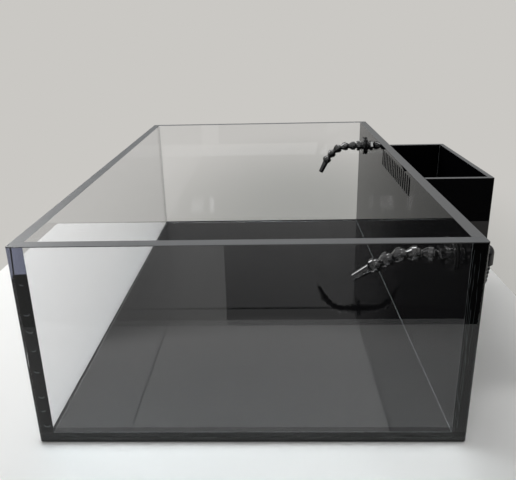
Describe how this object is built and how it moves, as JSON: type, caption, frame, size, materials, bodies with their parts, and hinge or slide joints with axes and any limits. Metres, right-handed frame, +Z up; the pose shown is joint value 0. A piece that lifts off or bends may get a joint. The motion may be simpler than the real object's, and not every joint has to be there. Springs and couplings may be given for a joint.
{
  "type": "frag tank",
  "caption": "Shallow open-topped frag tank with clear and black acrylic walls, a slotted weir, an outside overflow box and jointed return nozzles.",
  "frame": {"origin": "centre of the tank's bottom face", "axes": "+X towards the overflow box, +Y towards the back (the tank's length), +Z up"},
  "size_m": [0.7296, 0.9144, 0.3048],
  "materials": {
    "clear_acrylic": "clear polished cast sheet, sawn edges",
    "black_acrylic": "polished cast sheet, sawn edges",
    "black_fitting": "moulded, glossy",
    "black_bulkhead": "moulded, satin",
    "gasket_rubber": "matte rubber"
  },
  "bodies": {
    "tank": {"bottom_panel": "black_acrylic", "front_panel": "clear_acrylic", "back_panel": "clear_acrylic", "left_panel": "clear_acrylic", "weir_panel": "black_acrylic", "overflow_outer_wall": "black_acrylic", "overflow_front_wall": "black_acrylic", "overflow_back_wall": "black_acrylic", "overflow_floor": "black_acrylic", "main_drain_body": "black_bulkhead", "main_drain_gasket": "gasket_rubber", "main_drain_nut": "black_bulkhead", "standby_drain_body": "black_bulkhead", "standby_drain_gasket": "gasket_rubber", "standby_drain_nut": "black_bulkhead", "front_return_body": "black_bulkhead", "front_return_gasket": "gasket_rubber", "front_return_nut": "black_bulkhead", "front_barb_elbow": "black_fitting", "front_hose_adapter": "black_fitting", "rear_return_body": "black_bulkhead", "rear_return_gasket": "gasket_rubber", "rear_return_nut": "black_bulkhead", "rear_barb_elbow": "black_fitting", "rear_hose_adapter": "black_fitting"},
    "front_link_1": {"front_hose_link_1": "black_fitting"},
    "front_link_2": {"front_hose_link_2": "black_fitting"},
    "front_link_3": {"front_hose_link_3": "black_fitting"},
    "front_link_4": {"front_hose_link_4": "black_fitting"},
    "front_nozzle": {"front_nozzle": "black_fitting"},
    "rear_link_1": {"rear_hose_link_1": "black_fitting"},
    "rear_link_2": {"rear_hose_link_2": "black_fitting"},
    "rear_link_3": {"rear_hose_link_3": "black_fitting"},
    "rear_link_4": {"rear_hose_link_4": "black_fitting"},
    "rear_nozzle": {"rear_nozzle": "black_fitting"}
  },
  "joints": [
    {"name": "front_hose_swivel", "type": "hinge", "parent": "tank", "child": "front_link_1", "pos_m": [0.25764, -0.3752, 0.256], "axis": [1, 0, 0], "range_deg": [-40, 45]},
    {"name": "front_hose_bend_1", "type": "hinge", "parent": "front_link_1", "child": "front_link_2", "pos_m": [0.23822, -0.36735, 0.25454], "axis": [0.3746, 0.9272, 0], "range_deg": [-19, 37]},
    {"name": "front_hose_bend_2", "type": "hinge", "parent": "front_link_2", "child": "front_link_3", "pos_m": [0.21924, -0.35969, 0.24981], "axis": [0.3746, 0.9272, 0], "range_deg": [-12, 44]},
    {"name": "front_hose_bend_3", "type": "hinge", "parent": "front_link_3", "child": "front_link_4", "pos_m": [0.20221, -0.35281, 0.23963], "axis": [0.3746, 0.9272, 0], "range_deg": [-23, 33]},
    {"name": "front_nozzle_bend", "type": "hinge", "parent": "front_link_4", "child": "front_nozzle", "pos_m": [0.18607, -0.34629, 0.22789], "axis": [0.3746, 0.9272, 0], "range_deg": [-23, 33]},
    {"name": "rear_hose_swivel", "type": "hinge", "parent": "tank", "child": "rear_link_1", "pos_m": [0.25764, 0.3538, 0.256], "axis": [1, 0, 0], "range_deg": [-60, 60]},
    {"name": "rear_hose_bend_1", "type": "hinge", "parent": "rear_link_1", "child": "rear_link_2", "pos_m": [0.23664, 0.3538, 0.25563], "axis": [0, 1, 0], "range_deg": [-14, 42]},
    {"name": "rear_hose_bend_2", "type": "hinge", "parent": "rear_link_2", "child": "rear_link_3", "pos_m": [0.21636, 0.3538, 0.2502], "axis": [0, 1, 0], "range_deg": [-5, 51]},
    {"name": "rear_hose_bend_3", "type": "hinge", "parent": "rear_link_3", "child": "rear_link_4", "pos_m": [0.19981, 0.3538, 0.23727], "axis": [0, 1, 0], "range_deg": [-15, 41]},
    {"name": "rear_nozzle_bend", "type": "hinge", "parent": "rear_link_4", "child": "rear_nozzle", "pos_m": [0.18659, 0.3538, 0.22095], "axis": [0, 1, 0], "range_deg": [-14, 42]}
  ]
}
